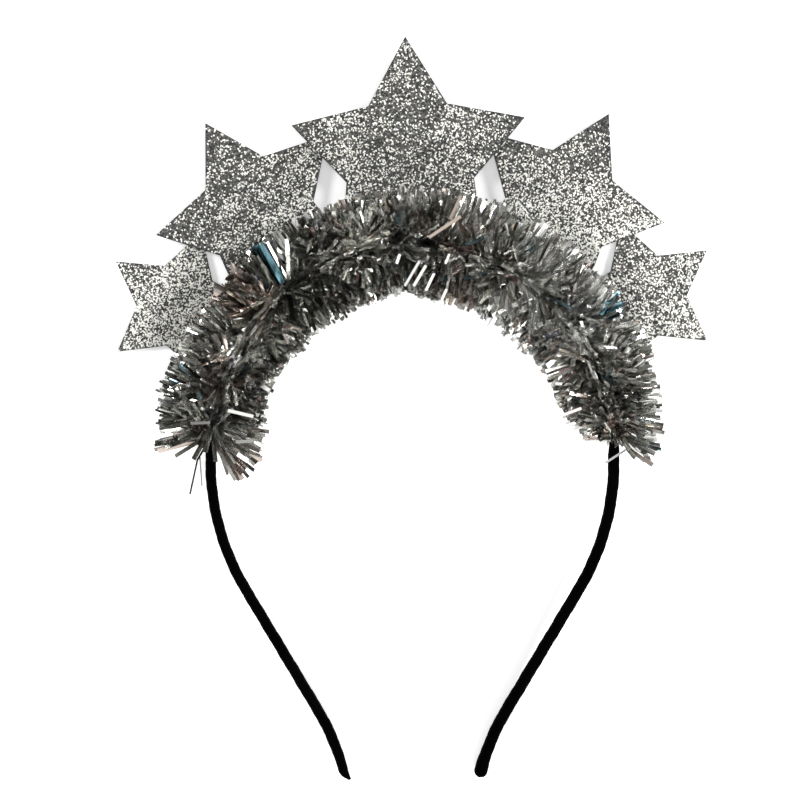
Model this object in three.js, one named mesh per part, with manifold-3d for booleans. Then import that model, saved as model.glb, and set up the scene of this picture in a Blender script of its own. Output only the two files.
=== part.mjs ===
// A party headband lying on its back: a ribbon-wrapped band bent to go over a head, a tinsel garland along the
// front of its arch, and a fan of five foam stars glued behind the garland.
//
// Millimetres. X runs across the head, Y from the tips to the crown, and Z up from the surface that it lies on,
// which is also the way that its front looks. The origin is the middle of the whole object's footprint.
// The band's widest points lie on the line y = 0 until the last lines, which centre everything.

import * as THREE from "three";
import { mergeVertices } from "three/addons/utils/BufferGeometryUtils.js";
import Module from "manifold-3d";

const wasm = await Module();
wasm.setup();

// Glue line between pieces that are stuck together.
const glueGap = 0.3;
// Detail finer than this is dropped where solids are joined.
const sliver = 0.01;

// The band: a springy strip wrapped in ribbon, an oval in section.
const bandThickness = 3.5; // across, as seen from the front
const bandDepth = 5; // front to back
const ovalSides = 12;
const archHalfWidth = 58; // from the middle to the band's centreline
const archHeight = 63.5; // from the widest points up to the crown
const legBendRadius = 72;
const legBendAngle = THREE.MathUtils.degToRad(30.4);
const legStraight = 41;
const tipBendRadius = 70;
const tipBendAngle = THREE.MathUtils.degToRad(17.4);
const archSteps = 44;
const legSteps = 22;
const tipRounding = 2.4; // length of the rounded end
const tipSwelling = 9; // length over which the folded ribbon thickens an end
const tipSwell = { left: 0.94, right: 1.16 }; // thickness at each end, as a share of the band's

// The stars: flat foam, cut with five points, the centre one in front and each pair glued behind the last.
const starThickness = 2;
const starWaist = 0.547; // from the centre to a notch, as a share of the radius
const starPoints = 5;
const starRadius = { centre: 35.5, inner: 30.2, outer: 22.3 };
// bearing: where the star stands on the arch, in degrees round its middle from +X. standoff: from the band's
// centreline out to the star's centre, in star radii. turn: degrees off pointing straight out. layer: 0 in front.
const stars = [
  { name: "star_centre", size: "centre", bearing: 90.5, standoff: 0.69, turn: 1.5, layer: 0 },
  { name: "star_inner_left", size: "inner", bearing: 121.7, standoff: 0.78, turn: -1.5, layer: 1 },
  { name: "star_inner_right", size: "inner", bearing: 59.8, standoff: 0.805, turn: 3.2, layer: 1 },
  { name: "star_outer_left", size: "outer", bearing: 146.0, standoff: 1.01, turn: -1.0, layer: 2 },
  { name: "star_outer_right", size: "outer", bearing: 35.7, standoff: 1.07, turn: 0.5, layer: 2 },
];
const backLayer = Math.max(...stars.map((star) => star.layer));

// The garland: foil locks standing out all round a core, which is glued to the front of the band. The heart is the
// mass of packed roots round the core, out to where the locks come apart.
const tinselCoreRadius = 2;
const tinselHeartRadius = 4;
const tinselReach = 15.5; // from the core's centre to the tips of the longest locks
const tinselReachSpread = 2.2; // how much shorter the shortest locks are
const tinselBareLeft = THREE.MathUtils.degToRad(2); // angle of the arch that the left end leaves bare
const tinselBareRight = THREE.MathUtils.degToRad(6);
const lockRings = 45;
const locksPerRing = 7;
const lockRootWidth = 1.4;
const lockTipWidth = 3.4;
const lockFlatness = 0.34; // thickness as a share of width
const lockSides = 3;
const lockLean = THREE.MathUtils.degToRad(7); // random lean along the garland
const lockTwist = THREE.MathUtils.degToRad(25); // random turn of a lock's flat about its own length
const endSplay = THREE.MathUtils.degToRad(42); // how far the end locks lean outwards
const endSplayLength = 9; // length of garland over which the splay fades out
const bareBack = THREE.MathUtils.degToRad(42); // half angle behind the core with no locks, where the band lies

// Heights above the surface, stacked from the hindmost stars forwards.
const starPitch = starThickness + glueGap;
const starFront = (layer) => (backLayer - layer) * starPitch + starThickness;
const bandHeight = starFront(0) + glueGap + bandDepth / 2;
const tipHeight = bandDepth / 2;
const tinselHeight = bandHeight + bandDepth / 2 + glueGap + tinselCoreRadius;

// Repeatable random numbers from 0 to 1.
function randomSource(seed) {
  let state = seed;
  return () => {
    state = (state * 1664525 + 1013904223) % 4294967296;
    return state / 4294967296;
  };
}

function solidOf(geometry) {
  const bare = geometry.clone();
  bare.deleteAttribute("normal");
  bare.deleteAttribute("uv");
  const merged = mergeVertices(bare, 1e-4);
  const vertProperties = new Float32Array(merged.attributes.position.array);
  const triVerts = new Uint32Array(merged.index.array);
  return new wasm.Manifold(new wasm.Mesh({ numProp: 3, vertProperties, triVerts }));
}

function geometryOf(solid) {
  const mesh = solid.getMesh();
  const geometry = new THREE.BufferGeometry();
  geometry.setAttribute("position", new THREE.BufferAttribute(mesh.vertProperties, 3));
  geometry.setIndex(new THREE.BufferAttribute(mesh.triVerts, 1));
  geometry.computeVertexNormals();
  return geometry;
}

// A closed skin over a row of rings that all have the same number of points.
function loft(rings) {
  const sides = rings[0].length;
  const positions = rings.flat().flatMap((point) => [point.x, point.y, point.z]);
  const faces = [];
  for (let ring = 0; ring + 1 < rings.length; ring++) {
    for (let side = 0; side < sides; side++) {
      const next = (side + 1) % sides;
      const here = ring * sides;
      const there = here + sides;
      faces.push(here + side, there + side, there + next);
      faces.push(here + side, there + next, here + next);
    }
  }
  const last = (rings.length - 1) * sides;
  for (let side = 1; side + 1 < sides; side++) {
    faces.push(0, side, side + 1);
    faces.push(last, last + side + 1, last + side);
  }
  const geometry = new THREE.BufferGeometry();
  geometry.setAttribute("position", new THREE.Float32BufferAttribute(positions, 3));
  geometry.setIndex(faces);
  geometry.computeVertexNormals();
  return geometry;
}

const arch = new THREE.EllipseCurve(0, 0, archHalfWidth, archHeight, 0, Math.PI);

// The point of the arch's centreline that lies at a bearing from its middle.
function archAt(bearing) {
  const across = Math.cos(bearing) / archHalfWidth;
  const up = Math.sin(bearing) / archHeight;
  const distance = 1 / Math.hypot(across, up);
  return new THREE.Vector2(Math.cos(bearing), Math.sin(bearing)).multiplyScalar(distance);
}

// One leg from the arch's widest point to its tip: bent in, straight, then bent part of the way back.
function legPath() {
  const path = new THREE.Path();
  const bendCentre = archHalfWidth - legBendRadius;
  path.absarc(bendCentre, 0, legBendRadius, 0, -legBendAngle, true);
  const bendEnd = path.getPoint(1);
  const heading = new THREE.Vector2(-Math.sin(legBendAngle), -Math.cos(legBendAngle));
  const straightEnd = bendEnd.clone().addScaledVector(heading, legStraight);
  path.lineTo(straightEnd.x, straightEnd.y);
  const outward = new THREE.Vector2(Math.cos(legBendAngle), -Math.sin(legBendAngle));
  const tipCentre = straightEnd.clone().addScaledVector(outward, tipBendRadius);
  const start = Math.PI - legBendAngle;
  path.absarc(tipCentre.x, tipCentre.y, tipBendRadius, start, start + tipBendAngle, false);
  return path;
}

// Stations along the band from the left tip over the crown to the right tip. Each has its place, its heading, how
// far it is from the nearer tip, and which side of the head it is on.
function bandStations() {
  const leg = legPath();
  const legLength = leg.getLength();
  const stations = [];
  for (let step = 0; step < legSteps; step++) {
    const share = step / legSteps;
    // Stations crowd towards the tip, where the end is rounded.
    const fromTip = legLength * share ** 1.6;
    const at = 1 - fromTip / legLength;
    const place = leg.getPointAt(at);
    const heading = leg.getTangentAt(at).negate();
    // The legs sink evenly from the arch's height to the surface that the tips lie on.
    const sink = THREE.MathUtils.smoothstep(at, 0, 1) * 0.35 + at * 0.65;
    const height = THREE.MathUtils.lerp(bandHeight, tipHeight, sink);
    stations.push({ place, heading, height, fromTip, side: "right" });
  }
  const rightLeg = stations;
  const leftLeg = rightLeg.map((station) => ({
    ...station,
    place: new THREE.Vector2(-station.place.x, station.place.y),
    heading: new THREE.Vector2(-station.heading.x, station.heading.y),
    side: "left",
  }));
  const crown = [];
  for (let step = 0; step <= archSteps; step++) {
    const at = 1 - step / archSteps;
    const place = arch.getPointAt(at);
    const heading = arch.getTangentAt(at).negate();
    const side = place.x < 0 ? "left" : "right";
    crown.push({ place, heading, height: bandHeight, fromTip: legLength, side });
  }
  const down = rightLeg.reverse().map((station) => ({
    ...station,
    heading: station.heading.clone().negate(),
  }));
  return [...leftLeg, ...crown, ...down];
}

// The band's section at a station: an oval that swells towards the tip and closes in a rounded end.
function bandSection(station, clearance) {
  const nearness = Math.max(0, 1 - station.fromTip / tipSwelling);
  const swell = THREE.MathUtils.lerp(1, tipSwell[station.side], nearness);
  const roundness = Math.min(1, station.fromTip / tipRounding);
  const closing = Math.max(0.25, Math.sqrt(1 - (1 - roundness) ** 2));
  const halfAcross = (bandThickness / 2) * swell * closing + clearance;
  const halfDeep = (bandDepth / 2) * closing + clearance;
  const across = new THREE.Vector2(station.heading.y, -station.heading.x);
  const ring = [];
  for (let side = 0; side < ovalSides; side++) {
    const angle = (side / ovalSides) * 2 * Math.PI;
    const sideways = Math.cos(angle) * halfAcross;
    const x = station.place.x + across.x * sideways;
    const y = station.place.y + across.y * sideways;
    ring.push(new THREE.Vector3(x, y, station.height + Math.sin(angle) * halfDeep));
  }
  return ring;
}

function bandGeometry(clearance = 0) {
  return loft(bandStations().map((station) => bandSection(station, clearance)));
}

// Half the angle of a star's point.
const starPointHalfAngle = Math.atan2(
  starWaist * Math.sin(Math.PI / starPoints),
  1 - starWaist * Math.cos(Math.PI / starPoints),
);

// A star, first point towards +X, lying on z = 0 and grown by the clearance on every side.
function starGeometry(star, clearance = 0) {
  const radius = starRadius[star.size] + clearance / Math.sin(starPointHalfAngle);
  const corners = [];
  for (let corner = 0; corner < 2 * starPoints; corner++) {
    const distance = corner % 2 ? radius * starWaist : radius;
    const angle = (corner / starPoints) * Math.PI;
    corners.push(new THREE.Vector2(Math.cos(angle) * distance, Math.sin(angle) * distance));
  }
  const options = { depth: starThickness + 2 * clearance, bevelEnabled: false };
  return new THREE.ExtrudeGeometry(new THREE.Shape(corners), options).translate(0, 0, -clearance);
}

function placeStar(object, star) {
  const bearing = THREE.MathUtils.degToRad(star.bearing);
  const outward = new THREE.Vector2(Math.cos(bearing), Math.sin(bearing));
  const centre = archAt(bearing).addScaledVector(outward, star.standoff * starRadius[star.size]);
  object.position.set(centre.x, centre.y, starFront(star.layer) - starThickness);
  object.rotation.z = bearing + THREE.MathUtils.degToRad(star.turn);
  object.updateMatrix();
  return object;
}

// The height of the highest star front under a point, or of the surface that the headband lies on.
function supportHeight(x, y) {
  let height = 0;
  for (const star of stars) {
    const holder = placeStar(new THREE.Object3D(), star);
    const local = new THREE.Vector3(x, y, 0).sub(holder.position);
    const angle = Math.atan2(local.y, local.x) - holder.rotation.z;
    const sector = (2 * Math.PI) / starPoints;
    const folded = Math.abs(angle - Math.round(angle / sector) * sector);
    // Along this ray the edge runs from a point at angle 0 to a notch half a sector away.
    const radius = starRadius[star.size];
    const edge =
      (radius * Math.sin(starPointHalfAngle)) / Math.sin(Math.PI - starPointHalfAngle - folded);
    if (Math.hypot(local.x, local.y) < edge) height = Math.max(height, starFront(star.layer));
  }
  return height;
}

// One foil lock from root to tip, a flat tapered bar that is widest at its tip.
function lockGeometry(root, tip, widthAxis) {
  const along = tip.clone().sub(root);
  const geometry = new THREE.CylinderGeometry(
    lockTipWidth / 2,
    lockRootWidth / 2,
    along.length(),
    lockSides,
  );
  geometry.scale(1, 1, lockFlatness);
  const up = along.clone().normalize();
  const flat = new THREE.Vector3().crossVectors(widthAxis, up).normalize();
  const wide = new THREE.Vector3().crossVectors(up, flat);
  const middle = root.clone().add(tip).multiplyScalar(0.5);
  geometry.applyMatrix4(new THREE.Matrix4().makeBasis(wide, up, flat).setPosition(middle));
  return geometry;
}

// Places along the garland, from its right end to its left: the point, the way along and the way out.
function garlandStations(count) {
  const line = new THREE.EllipseCurve(
    0,
    0,
    archHalfWidth,
    archHeight,
    tinselBareRight,
    Math.PI - tinselBareLeft,
  );
  const length = line.getLength();
  return Array.from({ length: count }, (_, index) => {
    const at = index / (count - 1);
    const place = line.getPointAt(at);
    const heading = line.getTangentAt(at);
    return {
      place: new THREE.Vector3(place.x, place.y, tinselHeight),
      along: new THREE.Vector3(heading.x, heading.y, 0),
      outward: new THREE.Vector3(heading.y, -heading.x, 0),
      fromStart: at * length,
      fromEnd: (1 - at) * length,
    };
  });
}

function garlandHeart() {
  const heartSides = 8;
  const rings = garlandStations(lockRings).map((station) =>
    Array.from({ length: heartSides }, (_, side) => {
      const angle = ((side + 0.5) / heartSides) * 2 * Math.PI;
      return station.place
        .clone()
        .addScaledVector(station.outward, Math.cos(angle) * tinselHeartRadius)
        .add(new THREE.Vector3(0, 0, Math.sin(angle) * tinselHeartRadius));
    }),
  );
  return solidOf(loft(rings));
}

// How far the locks at a station lean, towards the nearer end of the garland.
function splayAt(station) {
  const atStart = Math.max(0, 1 - station.fromStart / endSplayLength);
  const atEnd = Math.max(0, 1 - station.fromEnd / endSplayLength);
  return endSplay * (atEnd - atStart);
}

// The height that a lock's tip is pushed up to, so that all of the lock clears the stars and the surface below.
function liftedTip(root, tip) {
  const lockChecks = 6;
  const clearance = glueGap + (lockTipWidth * lockFlatness) / 2;
  let height = tip.z;
  for (let check = lockChecks; check > lockChecks / 3; check--) {
    const share = check / lockChecks;
    const point = root.clone().lerp(tip, share);
    const lowest = supportHeight(point.x, point.y) + clearance;
    height = Math.max(height, root.z + (lowest - root.z) / share);
  }
  return height;
}

function garlandLocks() {
  const random = randomSource(7);
  const spread = () => 2 * random() - 1;
  const locks = [];
  const open = 2 * (Math.PI - bareBack);
  garlandStations(lockRings).forEach((station, ring) => {
    for (let index = 0; index < locksPerRing; index++) {
      const stagger = ring % 2 ? 0.75 : 0.25;
      const around = ((index + stagger + 0.15 * spread()) / locksPerRing - 0.5) * open;
      const lean = splayAt(station) + lockLean * spread();
      const direction = station.outward
        .clone()
        .multiplyScalar(Math.sin(around))
        .add(new THREE.Vector3(0, 0, Math.cos(around)))
        .addScaledVector(station.along, Math.tan(lean))
        .normalize();
      const tip = station.place
        .clone()
        .addScaledVector(direction, tinselReach - tinselReachSpread * random());
      tip.z = liftedTip(station.place, tip);
      const axis = station.along.clone().applyAxisAngle(direction, lockTwist * spread());
      locks.push(solidOf(lockGeometry(station.place, tip, axis)));
    }
  });
  return locks;
}

// The garland, kept clear of the surface, of the stars that its locks are pressed against, and of the band. What
// those cut off loose is dropped.
function garlandGeometry() {
  const whole = wasm.Manifold.union([garlandHeart(), ...garlandLocks()]);
  const cutters = stars.map((star) => {
    const holder = placeStar(new THREE.Object3D(), star);
    return solidOf(starGeometry(star, glueGap).applyMatrix4(holder.matrix));
  });
  cutters.push(solidOf(bandGeometry(0.95 * glueGap)));
  const ground = new THREE.BoxGeometry(4 * archHalfWidth, 4 * archHeight, tinselReach);
  cutters.push(solidOf(ground.translate(0, 0, -tinselReach / 2)));
  const cut = whole.subtract(wasm.Manifold.union(cutters));
  const bodies = cut.simplify(sliver).decompose();
  return geometryOf(bodies.reduce((a, b) => (a.volume() > b.volume() ? a : b)));
}

const ribbonBlack = new THREE.MeshStandardMaterial({ color: 0x0b0b0c, roughness: 0.75 });
const foilSilver = new THREE.MeshStandardMaterial({ color: 0x8c8c88, roughness: 0.3, metalness: 1 });
const glitterSilver = new THREE.MeshStandardMaterial({
  color: 0xa2a29e,
  roughness: 0.45,
  metalness: 0.7,
});

function named(name, geometry, material) {
  const mesh = new THREE.Mesh(geometry, material);
  mesh.name = name;
  return mesh;
}

const headband = new THREE.Group();
headband.add(named("band", bandGeometry(), ribbonBlack));
headband.add(named("tinsel_garland", garlandGeometry(), foilSilver));
for (const star of stars) {
  headband.add(placeStar(named(star.name, starGeometry(star), glitterSilver), star));
}

const extent = new THREE.Box3().setFromObject(headband, true);
const middle = extent.getCenter(new THREE.Vector3());
headband.position.set(-middle.x, -middle.y, -extent.min.z);

export default headband;
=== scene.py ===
import math

import bpy
import numpy as np
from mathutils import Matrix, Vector


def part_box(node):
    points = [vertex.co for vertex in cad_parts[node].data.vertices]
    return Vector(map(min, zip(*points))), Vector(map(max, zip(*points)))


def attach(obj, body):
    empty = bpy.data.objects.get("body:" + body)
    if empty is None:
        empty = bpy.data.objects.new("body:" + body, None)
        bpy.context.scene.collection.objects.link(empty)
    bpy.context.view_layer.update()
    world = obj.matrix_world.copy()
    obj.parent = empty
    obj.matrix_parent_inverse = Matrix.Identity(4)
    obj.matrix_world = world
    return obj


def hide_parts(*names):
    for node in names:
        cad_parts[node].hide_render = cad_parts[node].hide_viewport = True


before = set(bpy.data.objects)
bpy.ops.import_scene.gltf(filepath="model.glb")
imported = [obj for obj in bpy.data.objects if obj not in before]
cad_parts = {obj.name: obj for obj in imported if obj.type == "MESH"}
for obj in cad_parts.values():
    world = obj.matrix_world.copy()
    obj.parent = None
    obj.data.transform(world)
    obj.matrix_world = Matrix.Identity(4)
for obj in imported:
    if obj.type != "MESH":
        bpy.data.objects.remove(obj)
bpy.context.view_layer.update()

# Sizes in metres, and angles in radians. Left and right are as seen from the front, which looks up, along +Z.
MM = 0.001

# The band, as in the solids.
BAND_THICKNESS = 3.5 * MM
BAND_DEPTH = 5 * MM
ARCH_HALF_WIDTH = 58 * MM
ARCH_HEIGHT = 63.5 * MM
LEG_BEND_RADIUS = 72 * MM
LEG_BEND_ANGLE = math.radians(30.4)
LEG_STRAIGHT = 41 * MM
TIP_BEND_RADIUS = 70 * MM
TIP_BEND_ANGLE = math.radians(17.4)

# The ribbon wound round the band.
RIBBON_PITCH = 9.5 * MM
RIBBON_STEP = 0.2 * MM
RIBBON_STEP_SHARE = 0.07  # of a turn, over which the edge drops
RIBBON_INSET = 0.18 * MM
RIBBON_START = 0.35  # height of a turn where it begins, over its height at its edge
RIBBON_PUCKER = 0.03 * MM
RIBBON_END = (0.9 * MM, 12 * MM)  # how far the ribbon sticks out at the left tip, and over what length
WOUND_THICKNESS = [
    # share of the way from the left tip to the right one, thickness over the solid's
    (0.0, 0.95),
    (0.3, 0.90),
    (0.7, 0.98),
    (1.0, 1.03),
]
BAND_TIPS = {
    # length that swells or narrows, thickness there over the band's, length of the rounding, bluntness
    "left": (14 * MM, 0.88, 3.6 * MM, 0.35),
    "right": (9 * MM, 1.16, 2.2 * MM, 0.15),
}
LEG_EASE = 0.35  # share of the legs' drop that starts and stops softly. The rest is even.
CROWN_STEPS = 600
BAND_STATION = 0.5 * MM
BAND_SIDES = 28

# The stars, as in the solids.
STAR_POINTS = 5
STAR_WAIST = 0.547
STAR_MARGIN = 0.2 * MM  # round a star, within which the strips are still kept over it
STAR_NODES = ["star_centre", "star_inner_left", "star_inner_right", "star_outer_left", "star_outer_right"]

# Glitter flakes: hexagons laid on a shaken grid.
FLAKE_PITCH = 0.4 * MM
FLAKE_RADIUS = 0.28 * MM
FLAKE_TILT = math.radians(11)
FLAKE_BASE = 0.1 * MM
FLAKE_SPREAD = 0.06 * MM
FLAKE_CEILING = 0.26 * MM
FLAKE_FLOOR = 0.01 * MM
FLAKE_ROOT = 0.02 * MM
FLAKE_SIZES = (0.8, 1.15)  # smallest and largest, over the usual radius
FLAKE_SHAKE = 0.42  # how far a flake may be off its place in the grid, in pitches
FLAKE_EDGE = 0.12 * MM  # no flake's middle is nearer to a star's edge
FLAKE_RIM = 0.55 * MM  # the flakes are darker this near the edge and fewer are bright: partly glitter thinning out at the cut edge, partly painted shade along it
RIM_SHARE = 0.25  # of the bright flakes, and of the dull flakes' tone, that is left right at the edge
GLITTER_PATCHES = (450.0, 0.08)  # frequency, and how much they change the share of bright flakes
GLITTER_CLUMPS = (3600.0, 0.13)
# Which flakes look bright is painted: the real flakes are all metallised film, and a share of them is
# coloured near white as painted glints, the rest dull grey.
DULL_TONES = (0.005, 0.17)  # the lowest, and the range above it
BRIGHT_TONES = (0.75, 1.0)
LOWEST_TONE = 0.012
FLAKE_TINT = (1.01, 1.0, 0.93)
FLAKE_TINT_SPREAD = 0.02
BRIGHT_SHARE = {
    # share of the flakes that are bright, and how it rises from a star's centre to its right and upper side,
    # which paints light and shade across each star
    "star_centre": (0.26, 0.0, -0.03),
    "star_inner_left": (0.31, 0.2, -0.12),
    "star_inner_right": (0.40, -0.05, -0.4),
    "star_outer_left": (0.50, 0.1, -0.08),
    "star_outer_right": (0.36, 0.15, -0.12),
}

# The tinsel garland. Its core is two wires that are twisted together.
CORE_RADIUS = 0.9 * MM
WIRE_RADIUS = 0.45 * MM
WIRE_END = 0.55  # of the radius, at a wire's ends
WIRE_OFFSET = 0.42 * MM  # of each wire's centre from the core's
WIRE_LAY = 5.5 * MM  # length of one twist
WIRE_STATIONS = 420
WIRE_SIDES = 8
GARLAND_STEPS = 2000
GLUE_GAP = 0.3 * MM
TINSEL_CORE_HEIGHT = 2 * MM  # of the core's centre over the glue line
TINSEL_BARE_LEFT = math.radians(7)
TINSEL_BARE_RIGHT = math.radians(6.5)
TUFT_COUNT = 860
TUFT_STRIPS = 7
TUFT_PITCH = 0.6 * MM  # between the roots of a tuft's strips, along the garland
STRIP_REACH = 16 * MM
STRIP_WIDTH = 1.22 * MM
STRIP_CREASE = (0.02, 0.09)  # height of the crease along a strip, over its width
STRIP_SEGMENTS = 3
STRIP_WIDTHS = (0.65, 1.15)  # narrowest and widest, over the usual width
CREASE_OFF_CENTRE = 0.6  # at most, over half the strip's width
STRIP_SAG = 0.05  # most that a strip bends down at its tip, over its length
STRIP_TWIST = math.radians(5)
STRIP_CLEARANCE = 0.25 * MM  # over the stars and the surface
TUFT_LOSS = 0.26  # most that a tuft falls short of the reach
TUFT_LOSS_SHAPE = (1.0, 2.2)  # of the beta distribution that the loss is drawn from
SHORTEST_STRIP = 0.88  # over its tuft's length
# Spreads of the strips within a tuft, and of the tufts.
AROUND_SPREAD = (math.radians(5), 0)
LEAN_SPREAD = (math.radians(4), math.radians(10))
HEADING_SPREAD = (0.3, 0)
WAY_SPREAD = (0.035, 0.1)
BEND_SPREAD = (0.006, 0.015)
TURN_SPREAD = (math.radians(22), math.radians(22))
BARE_BACK = math.radians(40)  # half angle behind the core that the band fills
# How far the end tufts lean outwards along the band: those towards the outside of the arch, and those inside.
END_SPLAY = {"left": (12, 50), "right": (42, -10)}
END_SPLAY_LENGTH = 11 * MM
END_LEANS = (0.5, 1.2)  # least and most of that lean which a strip takes
END_SLACK = 0.08  # slope past the end that every strip there may have
END_COVER = {"left": 0.34, "right": 0.2}  # more slope past the end for strips that stand right over the band
END_COVER_WIDTH = 0.7  # slope outwards or inwards at which that stops
REACH_SHARES = [
    # degrees round the arch from its right side, and how far the strips reach there inside and outside it
    (8, 0.55, 0.92),
    (14, 0.85, 0.98),
    (20, 0.92, 1.05),
    (32, 0.93, 1.10),
    (56, 1.08, 1.05),
    (75, 1.07, 1.00),
    (92, 0.99, 1.00),
    (110, 1.05, 1.00),
    (130, 1.07, 1.00),
    (146, 0.95, 1.00),
    (158, 0.87, 1.07),
    (166, 0.98, 1.12),
    (175, 1.12, 1.10),
]
FRONT_RISE = (0.35, 0.95)  # how much of its rise a tuft that points forwards keeps
FRONT_PRESS = (0.1, 1.15)  # how far such a tuft is pressed over
LENGTHWISE_PRESS = 0.65  # of that, where it is pressed along the band
TINT_SPREAD = 0.3  # of the strips' brightness, in its logarithm
# The brown, teal, pinkish and violet tints are painted reflections on the silver foil. The greys differ at
# random.
TINTS = [
    # share of strips, colour
    (0.60, (0.52, 0.52, 0.49)),
    (0.19, (0.90, 0.90, 0.87)),
    (0.09, (0.25, 0.26, 0.23)),
    (0.09, (0.50, 0.43, 0.39)),
    (0.015, (0.21, 0.31, 0.35)),
    (0.008, (0.40, 0.27, 0.27)),
    (0.007, (0.30, 0.30, 0.36)),
]
# Colours of painted light on the silver foil: reflections in brown, teal and copper, and a shade and a
# highlight in grey.
BROWN_REFLECTION = (0.44, 0.37, 0.33)
TEAL_REFLECTION = (0.06, 0.12, 0.14)
COPPER_REFLECTION = (0.43, 0.36, 0.31)
PAINTED_SHADE = (0.24, 0.24, 0.22)
PAINTED_HIGHLIGHT = (0.90, 0.90, 0.87)
# Patches of painted light: painted shade in the dark ones, a painted highlight in the pale one, and painted
# reflections in the brown and teal ones.
PAINTED_LIGHT_PATCHES = [
    # x, y and radius in mm, share of the strips there, colour
    (-58.0, -3.0, 17.0, 0.15, PAINTED_SHADE),
    (-66.0, -10.0, 8.0, 0.5, PAINTED_SHADE),
    (-40.0, 38.0, 15.0, 0.5, PAINTED_SHADE),
    (40.0, 32.0, 18.0, 0.45, PAINTED_HIGHLIGHT),
    (-49.5, 32.5, 6.5, 0.5, BROWN_REFLECTION),
    (-40.3, 42.0, 2.5, 0.6, TEAL_REFLECTION),
    (56.8, 27.8, 4.0, 0.3, TEAL_REFLECTION),
    (40.2, 46.5, 2.5, 0.7, BROWN_REFLECTION),
    (14.4, 36.9, 3.5, 0.5, BROWN_REFLECTION),
    (-51.0, -18.0, 5.0, 0.7, BROWN_REFLECTION),
]
# Single strips that stand out. The near-white ones are painted glints, and the brown, copper and pinkish ones
# painted reflections on the silver foil.
FLAT = (0.0, 0.0, 1.0)
LOOSE_STRIPS = [
    # from x, y, z and to x, y in mm, the way it faces, width in mm, colour
    ((4.7, 47.7, 28), (13.6, 53.6), FLAT, 0.9, COPPER_REFLECTION),
    ((10.6, 52.8, 27), (13.7, 59.5), FLAT, 0.8, (0.35, 0.29, 0.25)),
    ((2.2, 41.4, 26), (-2.0, 34.3), FLAT, 0.7, (0.70, 0.71, 0.69)),
    ((3.9, 40.0, 26), (0.5, 34.3), FLAT, 0.8, (0.85, 0.85, 0.83)),
    ((6.2, 37.8, 26), (3.9, 33.0), FLAT, 0.7, (0.99, 0.99, 0.98)),
    ((10.4, 43.0, 28), (9.3, 40.4), FLAT, 0.6, (0.99, 0.99, 0.98)),
    ((9.7, 33.4, 26), (8.3, 30.3), FLAT, 0.7, (0.99, 0.99, 0.98)),
    ((-3.4, 43.0, 28), (-4.3, 40.4), FLAT, 0.8, (0.99, 0.99, 0.98)),
    ((-51.3, -0.5, 28), (-44.2, -2.2), FLAT, 0.9, (0.73, 0.75, 0.67)),
    ((-48.8, -12.7, 26), (-45.9, -14.7), FLAT, 1.2, (0.99, 0.99, 0.98)),
    ((-49.1, -9.3, 28), (-44.0, -9.0), FLAT, 0.9, (0.30, 0.30, 0.28)),
    ((-61.7, -4.1, 28), (-56.3, -3.9), FLAT, 0.8, (0.19, 0.19, 0.18)),
    ((59.7, -11.6, 26), (54.1, -15.2), FLAT, 0.6, (0.42, 0.42, 0.41)),
    ((47.4, 0.1, 26), (42.0, -1.9), FLAT, 0.8, (0.84, 0.72, 0.70)),
    ((-61.7, -14.9, 9), (-64.6, -25.1), (-0.45, -0.45, 0.77), 0.6, (0.1, 0.1, 0.1)),
    ((-61.0, -13.5, 9), (-60.9, -22.6), (0.84, -0.28, 0.47), 0.6, (0.15, 0.15, 0.15)),
]

CAMERA_HEIGHT = 0.6
PHOTO_WIDTH = 232.2 * MM  # across the photograph at the height of the stars
PHOTO_CENTRE = (-3.34 * MM, 2.4 * MM)
SENSOR_WIDTH = 36
FLOOR_HALF = 1.2
FLOOR_DROP = 0.2 * MM  # below the surface
FLOOR_GLOW = 0.45
SKY_STRENGTH = 0.06
LAMP_AIM = (0, 0, 0.01)
LAMPS = [
    # place, diameter, power in watts
    ((0.05, -0.05, 0.95), 0.8, 2.2),
    ((0.25, -0.85, 0.75), 0.4, 11.0),
    ((-0.75, 0.3, 0.8), 0.35, 6.9),
    ((0.8, 0.3, 0.75), 0.35, 8.8),
]


# Mesh helpers.


def linked_object(name, data):
    piece = bpy.data.objects.new(name, data)
    bpy.context.scene.collection.objects.link(piece)
    return piece


def strip_mesh(name, points, sizes, loops):
    """A mesh from numpy: points, the number of corners of each face, and all the corners in one row."""
    mesh = bpy.data.meshes.new(name)
    mesh.vertices.add(len(points))
    mesh.vertices.foreach_set("co", np.asarray(points, np.float32).ravel())
    mesh.loops.add(len(loops))
    mesh.loops.foreach_set("vertex_index", np.asarray(loops, np.int32))
    mesh.polygons.add(len(sizes))
    starts = np.concatenate([[0], np.cumsum(sizes)[:-1]])
    mesh.polygons.foreach_set("loop_start", starts.astype(np.int32))
    mesh.polygons.foreach_set("loop_total", np.asarray(sizes, np.int32))
    mesh.update(calc_edges=True)
    mesh.validate()
    mesh.shade_flat()
    return linked_object(name, mesh)


def tube_faces(rings, sides):
    """The faces of a closed tube of point rings: all their corners in one row, and how many each has."""
    first = np.arange(rings - 1)[:, None] * sides
    here = np.arange(sides)[None, :]
    there = (here + 1) % sides
    quads = np.stack([first + here, first + there, first + sides + there, first + sides + here], axis=-1)
    ends = [np.arange(sides)[::-1], (rings - 1) * sides + np.arange(sides)]
    return np.concatenate([quads.reshape(-1), *ends]), [4] * (rings - 1) * sides + [sides, sides]


def face_colours(piece, name, colours):
    """One colour for each face."""
    attribute = piece.data.attributes.new(name, "FLOAT_COLOR", "FACE")
    alpha = np.ones((len(colours), 1))
    rows = np.hstack([colours, alpha]).astype(np.float32)
    attribute.data.foreach_set("color", rows.ravel())


def point_vectors(piece, name, vectors):
    attribute = piece.data.attributes.new(name, "FLOAT_VECTOR", "POINT")
    attribute.data.foreach_set("vector", np.asarray(vectors, np.float32).ravel())


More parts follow.
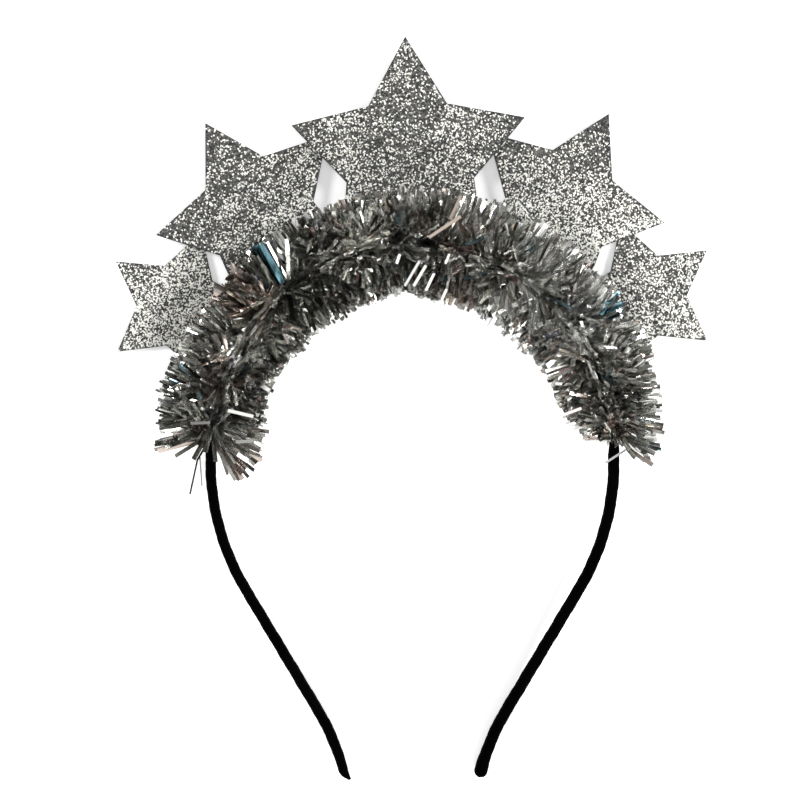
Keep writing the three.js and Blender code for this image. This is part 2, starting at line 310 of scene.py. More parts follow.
def unit(vectors):
    return vectors / np.linalg.norm(vectors, axis=-1, keepdims=True)


def path_lengths(points):
    """How far along a row of points each of them is."""
    steps = np.linalg.norm(np.diff(points, axis=0), axis=1)
    return np.concatenate([[0], np.cumsum(steps)])


def points_at(points, lengths, at):
    """Places at given distances along a row of points."""
    columns = [np.interp(at, lengths, points[:, axis]) for axis in range(points.shape[1])]
    return np.stack(columns, axis=-1)


def smooth_noise(points, seed, frequency, waves=6):
    """Slow random values from about -1 to 1, from a few crossed sine waves."""
    random = np.random.default_rng(seed)
    total = np.zeros(len(points))
    for _ in range(waves):
        direction = random.normal(size=points.shape[1])
        phase = random.uniform(0, 2 * math.pi)
        total += np.sin(points @ direction * frequency + phase)
    return total / math.sqrt(waves)


# Material helpers.


def new_material(name):
    material = bpy.data.materials.new(name)
    material.use_nodes = True
    tree = material.node_tree
    return material, tree.nodes, tree.links, tree.nodes["Principled BSDF"]


def set_values(node, **values):
    for name, value in values.items():
        node.inputs[name.replace("_", " ").title()].default_value = value


def add_node(nodes, kind, **values):
    node = nodes.new(kind)
    for name, value in values.items():
        if hasattr(node, name):
            setattr(node, name, value)
        else:
            set_values(node, **{name: value})
    return node


def object_noise(nodes, links, scale, detail):
    """Cloudy noise that is fixed to the object."""
    place = nodes.new("ShaderNodeTexCoord")
    cloud = add_node(nodes, "ShaderNodeTexNoise", scale=scale, detail=detail)
    links.new(place.outputs["Object"], cloud.inputs["Vector"])
    return cloud


def vary_roughness(nodes, links, shader, noise, low, high):
    span = add_node(nodes, "ShaderNodeMapRange", to_min=low, to_max=high)
    links.new(noise.outputs["Fac"], span.inputs["Value"])
    links.new(span.outputs["Result"], shader.inputs["Roughness"])


def colour_ramp(nodes, stops):
    ramp = nodes.new("ShaderNodeValToRGB")
    elements = ramp.color_ramp.elements
    while len(elements) > 1:
        elements.remove(elements[-1])
    elements[0].position = stops[0][0]
    elements[0].color = stops[0][1]
    for position, colour in stops[1:]:
        elements.new(position).color = colour
    return ramp


def grey(value):
    return (value, value, value, 1)


def foil_material():
    material, nodes, links, shader = new_material("tinsel_foil")
    set_values(shader, metallic=1.0)
    tint = add_node(nodes, "ShaderNodeAttribute", attribute_name="tint")
    links.new(tint.outputs["Color"], shader.inputs["Base Color"])
    cloud = object_noise(nodes, links, scale=260.0, detail=2.0)
    vary_roughness(nodes, links, shader, cloud, 0.18, 0.32)
    return material


def glitter_material():
    material, nodes, links, shader = new_material("glitter_flakes")
    set_values(shader, metallic=0.08)
    tone = add_node(nodes, "ShaderNodeAttribute", attribute_name="tone")
    links.new(tone.outputs["Color"], shader.inputs["Base Color"])
    cloud = object_noise(nodes, links, scale=2600.0, detail=1.0)
    vary_roughness(nodes, links, shader, cloud, 0.4, 0.6)
    return material


def foam_material():
    """Dark foam with fine pores, and grey glue full of glitter dust on the side that faces up."""
    material, nodes, links, shader = new_material("star_foam")
    place = nodes.new("ShaderNodeTexCoord")
    pores = add_node(nodes, "ShaderNodeTexVoronoi", scale=2600.0)
    links.new(place.outputs["Object"], pores.inputs["Vector"])
    cloud = add_node(nodes, "ShaderNodeTexNoise", scale=260.0, detail=4.0)
    links.new(place.outputs["Object"], cloud.inputs["Vector"])
    foam = colour_ramp(nodes, [(0.3, (0.018, 0.018, 0.018, 1)), (0.7, (0.04, 0.04, 0.039, 1))])
    links.new(cloud.outputs["Fac"], foam.inputs["Fac"])
    dust = add_node(nodes, "ShaderNodeTexWhiteNoise", noise_dimensions="3D")
    grid = add_node(nodes, "ShaderNodeVectorMath", operation="SNAP")
    grid.inputs[1].default_value = (0.15 * MM, 0.15 * MM, 1)
    links.new(place.outputs["Object"], grid.inputs[0])
    links.new(grid.outputs["Vector"], dust.inputs["Vector"])
    glue = colour_ramp(nodes, [(0.0, grey(0.02)), (0.7, grey(0.06)), (1.0, grey(0.25))])
    links.new(dust.outputs["Value"], glue.inputs["Fac"])
    normal = nodes.new("ShaderNodeNewGeometry")
    split = nodes.new("ShaderNodeSeparateXYZ")
    links.new(normal.outputs["Normal"], split.inputs["Vector"])
    up = add_node(nodes, "ShaderNodeMath", operation="GREATER_THAN")
    up.inputs[1].default_value = 0.7
    links.new(split.outputs["Z"], up.inputs[0])
    mix = add_node(nodes, "ShaderNodeMix", data_type="RGBA")
    links.new(up.outputs["Value"], mix.inputs["Factor"])
    links.new(foam.outputs["Color"], mix.inputs["A"])
    links.new(glue.outputs["Color"], mix.inputs["B"])
    links.new(mix.outputs["Result"], shader.inputs["Base Color"])
    set_values(shader, roughness=0.8)
    bump = add_node(nodes, "ShaderNodeBump", strength=0.5, distance=0.0002)
    links.new(pores.outputs["Distance"], bump.inputs["Height"])
    links.new(bump.outputs["Normal"], shader.inputs["Normal"])
    return material


def ribbon_material():
    """Black satin. Fine ribs run across the ribbon, so along the band, and its turns differ a little."""
    material, nodes, links, shader = new_material("satin_ribbon")
    lay = add_node(nodes, "ShaderNodeAttribute", attribute_name="lay")
    split = nodes.new("ShaderNodeSeparateXYZ")
    links.new(lay.outputs["Vector"], split.inputs["Vector"])
    turn = add_node(nodes, "ShaderNodeTexWhiteNoise", noise_dimensions="1D")
    links.new(split.outputs["Z"], turn.inputs["W"])
    colour = colour_ramp(nodes, [(0.0, grey(0.0004)), (1.0, grey(0.001))])
    links.new(turn.outputs["Value"], colour.inputs["Fac"])
    links.new(colour.outputs["Color"], shader.inputs["Base Color"])
    weave = add_node(nodes, "ShaderNodeTexNoise", scale=1.0, detail=2.0)
    stretch = add_node(nodes, "ShaderNodeVectorMath", operation="MULTIPLY")
    stretch.inputs[1].default_value = (300.0, 7000.0, 1.0)
    links.new(lay.outputs["Vector"], stretch.inputs[0])
    links.new(stretch.outputs["Vector"], weave.inputs["Vector"])
    bump = add_node(nodes, "ShaderNodeBump", strength=0.5, distance=0.00008)
    links.new(weave.outputs["Fac"], bump.inputs["Height"])
    links.new(bump.outputs["Normal"], shader.inputs["Normal"])
    vary_roughness(nodes, links, shader, weave, 0.5, 0.7)
    shader.inputs["Specular IOR Level"].default_value = 0.004
    return material


def wire_material():
    material, nodes, links, shader = new_material("core_wire")
    set_values(shader, metallic=1.0)
    cloud = object_noise(nodes, links, scale=700.0, detail=3.0)
    colour = colour_ramp(nodes, [(0.3, grey(0.22)), (0.7, grey(0.5))])
    links.new(cloud.outputs["Fac"], colour.inputs["Fac"])
    links.new(colour.outputs["Color"], shader.inputs["Base Color"])
    set_values(shader, roughness=0.35)
    return material


# Where things are, taken from the solids.

band_low, band_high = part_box("band")
ARCH_X = (band_low.x + band_high.x) / 2
ARCH_Y = band_high.y - BAND_THICKNESS / 2 - ARCH_HEIGHT
BAND_Z = band_high.z - BAND_DEPTH / 2
TIP_Z = BAND_DEPTH / 2
CORE_Z = band_high.z + GLUE_GAP + TINSEL_CORE_HEIGHT


def arch_points(angles):
    x = ARCH_X + ARCH_HALF_WIDTH * np.cos(angles)
    y = ARCH_Y + ARCH_HEIGHT * np.sin(angles)
    return np.stack([x, y], axis=-1)


def star_places():
    """Each star's centre, radius, turn and front height, read from its solid."""
    places = {}
    for name in STAR_NODES:
        corners = np.array([v.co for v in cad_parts[name].data.vertices])
        low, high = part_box(name)
        flat = np.unique(np.round(corners[:, :2], 6), axis=0)
        centre = flat.mean(axis=0)
        spokes = flat - centre
        distance = np.linalg.norm(spokes, axis=1)
        outward = unit(centre - np.array([ARCH_X, ARCH_Y]))
        tips = spokes[distance > 0.9 * distance.max()]
        tip = tips[np.argmax(tips @ outward)]
        places[name] = {
            "centre": centre,
            "radius": distance.max(),
            "turn": math.atan2(tip[1], tip[0]),
            "front": high.z,
        }
    return places


stars = star_places()


def star_distance(star, points):
    """How far inside a star's outline each point in plan is, and the way out to the nearest edge."""
    sector = 2 * math.pi / STAR_POINTS
    local = points - star["centre"]
    angle = np.arctan2(local[:, 1], local[:, 0]) - star["turn"]
    nearest_tip = np.round(angle / sector) * sector
    folded = angle - nearest_tip
    side = np.where(folded < 0, -1.0, 1.0)
    distance = np.linalg.norm(local, axis=1)
    x = distance * np.cos(np.abs(folded))
    y = distance * np.sin(np.abs(folded))
    tip = np.array([star["radius"], 0])
    notch = star["radius"] * STAR_WAIST * np.array([math.cos(sector / 2), math.sin(sector / 2)])
    edge = unit(notch - tip)
    out = np.array([edge[1], -edge[0]])
    if out @ tip < 0:
        out = -out
    inside = (tip[0] - x) * out[0] + (tip[1] - y) * out[1]
    way = np.arctan2(out[1], out[0]) * side + nearest_tip + star["turn"]
    return inside, np.stack([np.cos(way), np.sin(way)], axis=-1)


def support_height(points):
    """The height of the highest star front, or of the surface, under each point in plan."""
    height = np.zeros(len(points))
    for star in stars.values():
        inside, _ = star_distance(star, points)
        height = np.where(inside > -STAR_MARGIN, np.maximum(height, star["front"] + FLAKE_CEILING), height)
    return height


# Glitter: each flake is a hexagon whose rim is drawn down to a point in the glue under it.


def flake_places(star, random):
    half = star["radius"]
    steps = int(2 * half / FLAKE_PITCH) + 2
    columns, rows = np.meshgrid(np.arange(steps), np.arange(int(steps / math.sin(math.pi / 3)) + 1))
    x = (columns + 0.5 * (rows % 2)) * FLAKE_PITCH - half
    y = rows * FLAKE_PITCH * math.sin(math.pi / 3) - half
    places = np.stack([x.ravel(), y.ravel()], axis=-1)
    places += random.uniform(-FLAKE_SHAKE, FLAKE_SHAKE, places.shape) * FLAKE_PITCH
    places += star["centre"]
    inside, _ = star_distance(star, places)
    return places[inside > FLAKE_EDGE]


def flake_colours(star, places, bright_share, random):
    """Bright flakes, which are painted glints, on a grey ground. They are thicker in some patches, lighter
    towards the sides given for each star, which is painted light, and fewer and darker at the star's edge,
    partly glitter thinning out there and partly painted shade.
    """
    count = len(places)
    share, painted_light_right, painted_light_up = bright_share
    off = (places - star["centre"]) / star["radius"]
    patch_frequency, patch_effect = GLITTER_PATCHES
    clump_frequency, clump_effect = GLITTER_CLUMPS
    patches = smooth_noise(places, count, patch_frequency)
    clumps = smooth_noise(places, count + 1, clump_frequency, waves=12)
    inside, _ = star_distance(star, places)
    # Painted shade at the rim: fewer flakes are bright and the dull ones are darker there, along with the
    # glitter thinning out at the cut edge.
    rim = RIM_SHARE + (1 - RIM_SHARE) * np.clip(inside / FLAKE_RIM, 0, 1)
    # The share rises across each star towards given sides, which paints light and shade on it.
    share = share + off @ np.array([painted_light_right, painted_light_up]) + patch_effect * patches + clump_effect * clumps
    bright = random.random(count) < share * rim
    lowest, span = DULL_TONES
    dull = lowest + span * random.random(count) ** 2
    tone = np.where(bright, random.uniform(*BRIGHT_TONES, count), dull * rim)
    tint = np.array(FLAKE_TINT) + FLAKE_TINT_SPREAD * random.normal(size=(count, 3))
    return np.clip(tone[:, None] * tint, LOWEST_TONE, 1)


def glitter_coat(name, star, bright_share, seed):
    random = np.random.default_rng(seed)
    places = flake_places(star, random)
    count = len(places)
    corner = np.arange(6) * math.pi / 3
    turn = random.uniform(0, 2 * math.pi, (count, 1))
    radius = FLAKE_RADIUS * random.uniform(*FLAKE_SIZES, (count, 1))
    x = places[:, :1] + radius * np.cos(corner + turn)
    y = places[:, 1:] + radius * np.sin(corner + turn)
    rim = np.stack([x, y], axis=-1)
    inside, way = star_distance(star, rim.reshape(-1, 2))
    over = np.minimum(inside, 0)[:, None]
    rim = (rim.reshape(-1, 2) + way * over).reshape(count, 6, 2)
    lean_x = random.normal(0, FLAKE_TILT, count)
    lean_y = random.normal(0, FLAKE_TILT, count)
    slope = np.tan(np.clip(np.stack([lean_x, lean_y], axis=-1), -0.5, 0.5))
    base = star["front"] + FLAKE_BASE + random.uniform(0, FLAKE_SPREAD, count)
    rise = np.einsum("nki,ni->nk", rim - places[:, None, :], slope)
    height = np.clip(base[:, None] + rise, star["front"] + FLAKE_FLOOR, star["front"] + FLAKE_CEILING)
    top = np.concatenate([rim, height[..., None]], axis=-1)
    root = np.column_stack([places, np.full(count, star["front"] - FLAKE_ROOT)])
    points = np.concatenate([top, root[:, None, :]], axis=1).reshape(-1, 3)
    first = np.arange(count)[:, None] * 7
    hexagon = first + np.arange(6)
    sides = np.stack(
        [
            first + (np.arange(6) + 1) % 6,
            first + np.arange(6),
            np.repeat(first + 6, 6, axis=1),
        ],
        axis=-1,
    )
    loops = np.concatenate([hexagon, sides.reshape(count, 18)], axis=1)
    sizes = np.tile([6] + [3] * 6, count)
    piece = strip_mesh(name, points, sizes, loops.ravel())
    colours = flake_colours(star, places, bright_share, random)
    face_colours(piece, "tone", np.repeat(colours, 7, axis=0))
    return piece


# The band in its ribbon.


def leg_centreline():
    """Points down the right leg from the widest point to the tip, in plan, about the arch's middle."""
    points = []
    steps = 200
    bend_centre = ARCH_HALF_WIDTH - LEG_BEND_RADIUS
    for angle in np.linspace(0, LEG_BEND_ANGLE, steps):
        points.append((bend_centre + LEG_BEND_RADIUS * math.cos(angle), -LEG_BEND_RADIUS * math.sin(angle)))
    heading = np.array([-math.sin(LEG_BEND_ANGLE), -math.cos(LEG_BEND_ANGLE)])
    start = np.array(points[-1])
    for share in np.linspace(0, 1, steps)[1:]:
        points.append(tuple(start + heading * LEG_STRAIGHT * share))
    outward = np.array([math.cos(LEG_BEND_ANGLE), -math.sin(LEG_BEND_ANGLE)])
    centre = np.array(points[-1]) + outward * TIP_BEND_RADIUS
    for angle in np.linspace(0, TIP_BEND_ANGLE, steps)[1:]:
        way = math.pi - LEG_BEND_ANGLE + angle
        points.append(tuple(centre + TIP_BEND_RADIUS * np.array([math.cos(way), math.sin(way)])))
    return np.array(points)


def resampled(points, spacing):
    lengths = path_lengths(points)
    count = int(round(lengths[-1] / spacing)) + 1
    at = np.linspace(0, lengths[-1], count)
    return points_at(points, lengths, at), at


def band_line():
    """The band's centreline from the left tip over the crown to the right tip, and the distance along it."""
    leg = leg_centreline()
    length = path_lengths(leg)
    share = length / length[-1]
    sink = LEG_EASE * share * share * (3 - 2 * share) + (1 - LEG_EASE) * share
    height = BAND_Z + (TIP_Z - BAND_Z) * sink
    right = np.column_stack([leg, height])
    left = right * np.array([-1, 1, 1])
    angles = np.linspace(math.pi, 0, CROWN_STEPS)
    crown_x = ARCH_HALF_WIDTH * np.cos(angles)
    crown_y = ARCH_HEIGHT * np.sin(angles)
    crown = np.column_stack([crown_x, crown_y, np.full(CROWN_STEPS, BAND_Z)])
    whole = np.concatenate([left[::-1], crown[1:-1], right])
    whole += np.array([ARCH_X, ARCH_Y, 0])
    return resampled(whole, BAND_STATION)


def tip_profile(from_tip, swelling, swell, rounding, blunt):
    """How thick the band is near a tip, and how deep, as shares of its usual size."""
    nearness = np.clip(1 - from_tip / swelling, 0, 1)
    thick = 1 + (swell - 1) * nearness * nearness * (3 - 2 * nearness)
    roundness = np.clip(from_tip / rounding, 0, 1)
    closing = np.sqrt(np.clip(1 - (1 - roundness) ** 2, blunt * blunt, 1))
    return thick * closing, closing


def wrapped_band():
    line, at = band_line()
    total = at[-1]
    count = len(line)
    heading = unit(np.gradient(line, axis=0))
    across = unit(np.stack([heading[:, 1], -heading[:, 0], np.zeros(count)], axis=-1))
    up = np.cross(across, heading)
    left_thick, left_deep = tip_profile(at, *BAND_TIPS["left"])
    right_thick, right_deep = tip_profile(total - at, *BAND_TIPS["right"])
    # The ribbon is wound tighter on the left leg.
    wound_at, wound = np.array(WOUND_THICKNESS).T
    thick = left_thick * right_thick * np.interp(at / total, wound_at, wound)
    deep = left_deep * right_deep
    # The ribbon's end sticks out a little at the left tip, which narrows from its outer side only.
    stick_out, over_length = RIBBON_END
    line = line - heading * (stick_out * np.clip(1 - at / over_length, 0, 1))[:, None]
    line = line + across * (BAND_THICKNESS / 2 * (1 - left_deep))[:, None]
    side = np.arange(BAND_SIDES) / BAND_SIDES
    angle = side * 2 * math.pi
    # Which turn of the ribbon a point is on. Each starts under the last one's edge and climbs on to the next.
    wander = 0.04 * np.sin(at / (31 * MM)) + 0.03 * np.sin(at / (13 * MM) + 1)
    turn = at[:, None] / RIBBON_PITCH + wander[:, None] - side[None, :]
    phase = turn - np.floor(turn)
    drop = np.clip((1 - phase) / RIBBON_STEP_SHARE, 0, 1)
    lift = RIBBON_STEP * (RIBBON_START + (1 - RIBBON_START) * phase) * drop
    pucker = RIBBON_PUCKER * np.sin(turn * 2 * math.pi * 3 + 2 * angle[None, :])
    grow = (lift - RIBBON_INSET + pucker)[..., None]
    half_across = BAND_THICKNESS / 2 * thick[:, None, None]
    ends = deep[:, None, None]
    half_deep = BAND_DEPTH / 2 * ends
    cosine = np.cos(angle)[None, :, None]
    sine = np.sin(angle)[None, :, None]
    points = line[:, None, :]
    points = points + across[:, None, :] * cosine * (half_across + grow * ends)
    points = points + up[:, None, :] * sine * (half_deep + grow * ends)
    loops, sizes = tube_faces(count, BAND_SIDES)
    piece = strip_mesh("ribbon_band", points.reshape(-1, 3), sizes, loops)
    piece.data.shade_smooth()
    round_length = math.pi * (BAND_THICKNESS + BAND_DEPTH) / 2
    lay = np.stack(
        [
            np.broadcast_to(angle[None, :] / (2 * math.pi) * round_length, turn.shape),
            np.broadcast_to(at[:, None], turn.shape),
            np.floor(turn),
        ],
        axis=-1,
    )
    point_vectors(piece, "lay", lay.reshape(-1, 3))
    return piece


# The tinsel.


def garland_line():
    """Points in plan along the garland's core from its right end to its left, and how far along they are."""
    points = arch_points(np.linspace(TINSEL_BARE_RIGHT, math.pi - TINSEL_BARE_LEFT, GARLAND_STEPS))
    return points, path_lengths(points)


def at_garland(share):
    """Place, way along, way out and the distances from both ends, for shares of the garland's length."""
    points, lengths = garland_line()
    at = np.asarray(share) * lengths[-1]
    place = points_at(points, lengths, at)
    step = lengths[-1] * 1e-4
    along = unit(points_at(points, lengths, at + step) - points_at(points, lengths, at - step))
    place = np.column_stack([place, np.full(len(at), CORE_Z)])
    out = np.column_stack([along[:, 1], -along[:, 0], np.zeros(len(at))])
    along = np.column_stack([along, np.zeros(len(at))])
    return place, along, out, at, lengths[-1] - at


def strip_lines(random):
    """The centrelines and width directions of all the strips. They stand in tufts that share a direction."""
    tuft = np.repeat(np.arange(TUFT_COUNT), TUFT_STRIPS)
    count = len(tuft)

    def shaken(spread, tuft_spread, *columns):
        own = random.normal(0, spread, (count, *columns))
        return own + random.normal(0, tuft_spread, (TUFT_COUNT, *columns))[tuft]

    share = (np.arange(TUFT_COUNT) + random.uniform(0, 1, TUFT_COUNT)) / TUFT_COUNT
    step = np.tile(np.arange(TUFT_STRIPS) - (TUFT_STRIPS - 1) / 2, TUFT_COUNT)
    garland_length = garland_line()[1][-1]
    share = np.clip(share[tuft] + step * TUFT_PITCH / garland_length, 0, 1)
    place, along, out, from_right, from_left = at_garland(share)
    open_angle = math.pi - BARE_BACK
    around = random.uniform(-open_angle, open_angle, TUFT_COUNT)[tuft] + shaken(*AROUND_SPREAD)
    around = np.clip(around, -open_angle, open_angle)
    lean = shaken(*LEAN_SPREAD)
    heading = random.uniform(0, 2 * math.pi, TUFT_COUNT)[tuft] + shaken(*HEADING_SPREAD)
    # The ends fan out along the band, more on one side than on the other.
    outside = np.sin(around)
    over_end = np.sin(heading)
    for side, from_end, sign in (("left", from_left, 1), ("right", from_right, -1)):
        outer, inner = END_SPLAY[side]
        splay = inner + (outer - inner) * (outside + 1) / 2
        nearness = np.clip(1 - from_end / END_SPLAY_LENGTH, 0, 1)
        lean = lean + sign * np.radians(splay) * nearness * random.uniform(*END_LEANS, count)
        over_end = np.where(nearness > 0, -sign * np.abs(over_end), over_end)
    # What stands up towards the front is pressed over, each tuft its own way.
    rise = np.cos(around)
    pressed = np.clip(rise, 0, 1)
    rise = np.where(rise > 0, rise * random.uniform(*FRONT_RISE, TUFT_COUNT)[tuft], rise)
    press = pressed * random.uniform(*FRONT_PRESS, TUFT_COUNT)[tuft]
    outwards = outside + press * np.cos(heading)
    lengthwise = np.tan(lean) + press * over_end * LENGTHWISE_PRESS
    outer_share = (np.clip(outwards, -1, 1) + 1) / 2
    for side, from_end, sign in (("left", from_left, 1), ("right", from_right, -1)):
        outer, inner = END_SPLAY[side]
        most = np.tan(np.radians(inner + (outer - inner) * outer_share)) * np.abs(outwards)
        cover = END_COVER[side] * np.clip(1 - np.abs(outwards) / END_COVER_WIDTH, 0, 1)
        most = np.where(from_end < END_SPLAY_LENGTH, most + END_SLACK + cover, np.inf)
        lengthwise = sign * np.minimum(sign * lengthwise, most)
    up = np.array([0, 0, 1])
    way = out * outwards[:, None] + along * lengthwise[:, None] + up * rise[:, None]
    way = unit(way + shaken(*WAY_SPREAD, 3))
    bearing = np.arctan2((place[:, 1] - ARCH_Y) / ARCH_HEIGHT, (place[:, 0] - ARCH_X) / ARCH_HALF_WIDTH)
    degrees, *reaches = np.array(REACH_SHARES).T
    inside_share, outside_share = (np.interp(np.degrees(bearing), degrees, row) for row in reaches)
    reach = STRIP_REACH * (1 - TUFT_LOSS * random.beta(*TUFT_LOSS_SHAPE, TUFT_COUNT))
    length = reach[tuft] * random.uniform(SHORTEST_STRIP, 1, count)
    length = length * (inside_share + (outside_share - inside_share) * outer_share)
    root = place + way * CORE_RADIUS / 2
    bend = shaken(*BEND_SPREAD, 3) - up * STRIP_SAG * pressed[:, None]
    bend = bend - way * np.sum(bend * way, axis=1, keepdims=True)
    t = np.linspace(0, 1, STRIP_SEGMENTS + 1)[None, :, None]
    line = root[:, None, :] + length[:, None, None] * (way[:, None, :] * t + bend[:, None, :] * t * t)
    line = lifted(line)
    level = unit(np.cross(up, way))
    normal = np.cross(way, level)
    turn = shaken(*TURN_SPREAD)[:, None]
    turn = turn + random.normal(0, STRIP_TWIST, (count, 1)) * t[..., 0]
    wide = level[:, None, :] * np.cos(turn)[..., None] + normal[:, None, :] * np.sin(turn)[..., None]
    return line, wide


def lifted(line):
    """Strips that would go into a star or the surface are pushed up until all of each lies over it."""
    shares = np.linspace(0, 1, line.shape[1])[1:]
    need = np.zeros(len(line))
    for index, share in enumerate(shares, 1):
        ground = support_height(line[:, index, :2]) + STRIP_CLEARANCE
        short = ground - line[:, index, 2]
        need = np.maximum(need, np.maximum(short, 0) / share)
    t = np.linspace(0, 1, line.shape[1])[None, :]
    raised = line.copy()
    raised[..., 2] = line[..., 2] + need[:, None] * t
    return raised


def strip_solid(name, line, wide, width, crease, crease_place):
    """Closed strips from centrelines and width directions, creased lengthwise along one face."""
    count, rings, _ = line.shape
    along = unit(np.gradient(line, axis=1))
    wide = unit(wide - along * np.sum(wide * along, axis=-1, keepdims=True))
    face = np.cross(along, wide) * crease[:, None, None]
    wide = wide * (width / 2)[:, None, None]
    ridge = line + wide * crease_place[:, None, None] + face
    points = np.stack([line - wide, line + wide, ridge], axis=2).reshape(-1, 3)
    first = np.arange(count)[:, None, None] * rings * 3 + np.arange(rings - 1)[None, :, None] * 3
    side = np.arange(3)[None, None, :]
    after = (side + 1) % 3
    quads = np.stack([first + side, first + after, first + 3 + after, first + 3 + side], axis=-1)
    quads = quads.reshape(count, -1)
    start = np.arange(count)[:, None] * rings * 3
    near = start + np.array([[2, 1, 0]])
    far = start + (rings - 1) * 3 + np.array([[0, 1, 2]])
    loops = np.concatenate([quads, near, far], axis=1)
    sizes = np.tile([4] * 3 * (rings - 1) + [3, 3], count)
    return strip_mesh(name, points, sizes, loops.ravel())


def strip_tints(middles, random):
    count = len(middles)
    shares = np.array([share for share, _ in TINTS])
    choice = random.choice(len(TINTS), size=count, p=shares / shares.sum())
    colours = np.array([colour for _, colour in TINTS])[choice]
    # Painted shade, highlight and reflections, laid over the foil in patches.
    for x, y, radius, share, colour in PAINTED_LIGHT_PATCHES:
        near = np.linalg.norm(middles[:, :2] - np.array([x, y]) * MM, axis=1) < radius * MM
        colours[near & (random.random(count) < share)] = colour
    return colours * np.exp(random.normal(0, TINT_SPREAD, (count, 1)))


def loose_lines():
    """Centrelines and width directions of the listed strips. Each rises from the core first."""
    core, _ = garland_line()
    lines, wides = [], []
    for start, end, face, _, _ in LOOSE_STRIPS:
        face = unit(np.array(face))
        start = np.array(start) * MM
        root = core[np.argmin(np.linalg.norm(core - start[:2], axis=1))]
        way = np.array([end[0] * MM - start[0], end[1] * MM - start[1], 0])
        way[2] = -(face @ way) / face[2]
        seen = start + way * np.linspace(0, 1, STRIP_SEGMENTS)[:, None]
        lines.append(np.vstack([[root[0], root[1], CORE_Z], seen]))
        wides.append(np.tile(np.cross(unit(way), face), (STRIP_SEGMENTS + 1, 1)))
    return np.array(lines), np.array(wides)


def tinsel():
    random = np.random.default_rng(5)
    line, wide = strip_lines(random)
    count = len(line)
    width = STRIP_WIDTH * random.uniform(*STRIP_WIDTHS, count)
    tint = strip_tints(line[:, 2], random)
    wide = wide * random.choice([-1, 1], (count, 1, 1))
    loose_line, loose_wide = loose_lines()
    line = np.concatenate([line, loose_line])
    wide = np.concatenate([wide, loose_wide])
    width = np.concatenate([width, [row[3] * MM for row in LOOSE_STRIPS]])
    tint = np.concatenate([tint, [row[4] for row in LOOSE_STRIPS]])
    crease = width * random.uniform(*STRIP_CREASE, len(line))
    crease_place = random.uniform(-CREASE_OFF_CENTRE, CREASE_OFF_CENTRE, len(line))
    piece = strip_solid("tinsel_strips", line, wide, width, crease, crease_place)
    faces = 3 * STRIP_SEGMENTS + 2
    face_colours(piece, "tint", np.repeat(np.clip(tint, 0, 1), faces, axis=0))
    return piece


def tube(name, lines, radius, sides):
    """Closed round tubes along point rows, all in one mesh."""
    points, sizes, loops = [], [], []
    base = 0
    for line in lines:
        count = len(line)
        heading = unit(np.gradient(line, axis=0))
        across = unit(np.cross(heading, np.array([0.02, 0.03, 1.0])))
        up = np.cross(across, heading)
        angle = np.arange(sides) / sides * 2 * math.pi
        taper = np.ones(count)
        taper[0] = taper[-1] = WIRE_END
        ring = across[:, None, :] * np.cos(angle)[:, None] + up[:, None, :] * np.sin(angle)[:, None]
        points.append((line[:, None, :] + ring * radius * taper[:, None, None]).reshape(-1, 3))
        tube_loops, tube_sizes = tube_faces(count, sides)
        loops.append(base + tube_loops)
        sizes.extend(tube_sizes)
        base += count * sides
    piece = strip_mesh(name, np.concatenate(points), sizes, np.concatenate(loops))
    piece.data.shade_smooth()
    return piece


def core_wires():
    """The two wires that are twisted together to hold the strips."""
    place, _, out, at, _ = at_garland(np.linspace(0, 1, WIRE_STATIONS))
    up = np.array([0, 0, 1])
    lines = []
    for start in (0, math.pi):
        twist = (at / WIRE_LAY * 2 * math.pi + start)[:, None]
        lines.append(place + (out * np.cos(twist) + up * np.sin(twist)) * WIRE_OFFSET)
    return tube("tinsel_core", lines, WIRE_RADIUS, WIRE_SIDES)


# Floor, lights and camera.


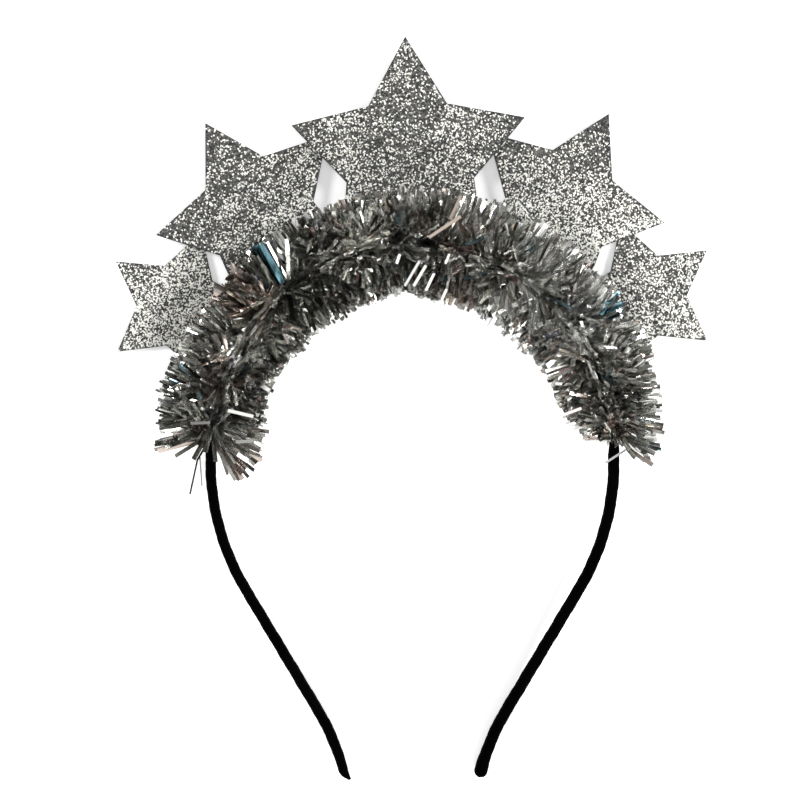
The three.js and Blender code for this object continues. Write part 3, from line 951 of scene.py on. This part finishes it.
def studio():
    mesh = bpy.data.meshes.new("floor")
    corners = [(-1, -1), (1, -1), (1, 1), (-1, 1)]
    mesh.from_pydata([(x * FLOOR_HALF, y * FLOOR_HALF, -FLOOR_DROP) for x, y in corners], [], [(0, 1, 2, 3)])
    floor = linked_object("floor", mesh)
    material, _, _, shader = new_material("pale_floor")
    set_values(shader, roughness=0.9, base_color=grey(0.9))
    set_values(shader, emission_color=grey(1), emission_strength=FLOOR_GLOW)
    floor.data.materials.append(material)
    world = bpy.data.worlds.new("studio")
    bpy.context.scene.world = world
    world.use_nodes = True
    set_values(world.node_tree.nodes["Background"], color=grey(1), strength=SKY_STRENGTH)
    for number, (place, size, power) in enumerate(LAMPS):
        light = bpy.data.lights.new(f"soft_{number}", "AREA")
        light.shape = "DISK"
        light.size = size
        light.energy = power
        lamp = linked_object(f"soft_{number}", light)
        lamp.location = place
        aim = Vector(LAMP_AIM) - Vector(place)
        lamp.rotation_euler = aim.to_track_quat("-Z", "Y").to_euler()


def camera():
    data = bpy.data.cameras.new("camera")
    data.sensor_width = SENSOR_WIDTH
    front = stars["star_inner_left"]["front"]
    data.lens = SENSOR_WIDTH * (CAMERA_HEIGHT - front) / PHOTO_WIDTH
    eye = linked_object("camera", data)
    eye.location = (*PHOTO_CENTRE, CAMERA_HEIGHT)
    bpy.context.scene.camera = eye


studio()
camera()
bpy.context.scene.view_settings.view_transform = "Standard"

foam = foam_material()
for name in STAR_NODES:
    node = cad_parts[name]
    node.data.materials.clear()
    node.data.materials.append(foam)

glitter = glitter_material()
for seed, (name, bright_share) in enumerate(BRIGHT_SHARE.items()):
    coat = glitter_coat(name + "_glitter", stars[name], bright_share, 100 + seed)
    coat.data.materials.append(glitter)
    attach(coat, "root")

band = wrapped_band()
band.data.materials.append(ribbon_material())
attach(band, "root")
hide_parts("band")

strips = tinsel()
strips.data.materials.append(foil_material())
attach(strips, "root")
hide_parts("tinsel_garland")

core = core_wires()
core.data.materials.append(wire_material())
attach(core, "root")
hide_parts("tinsel_garland")
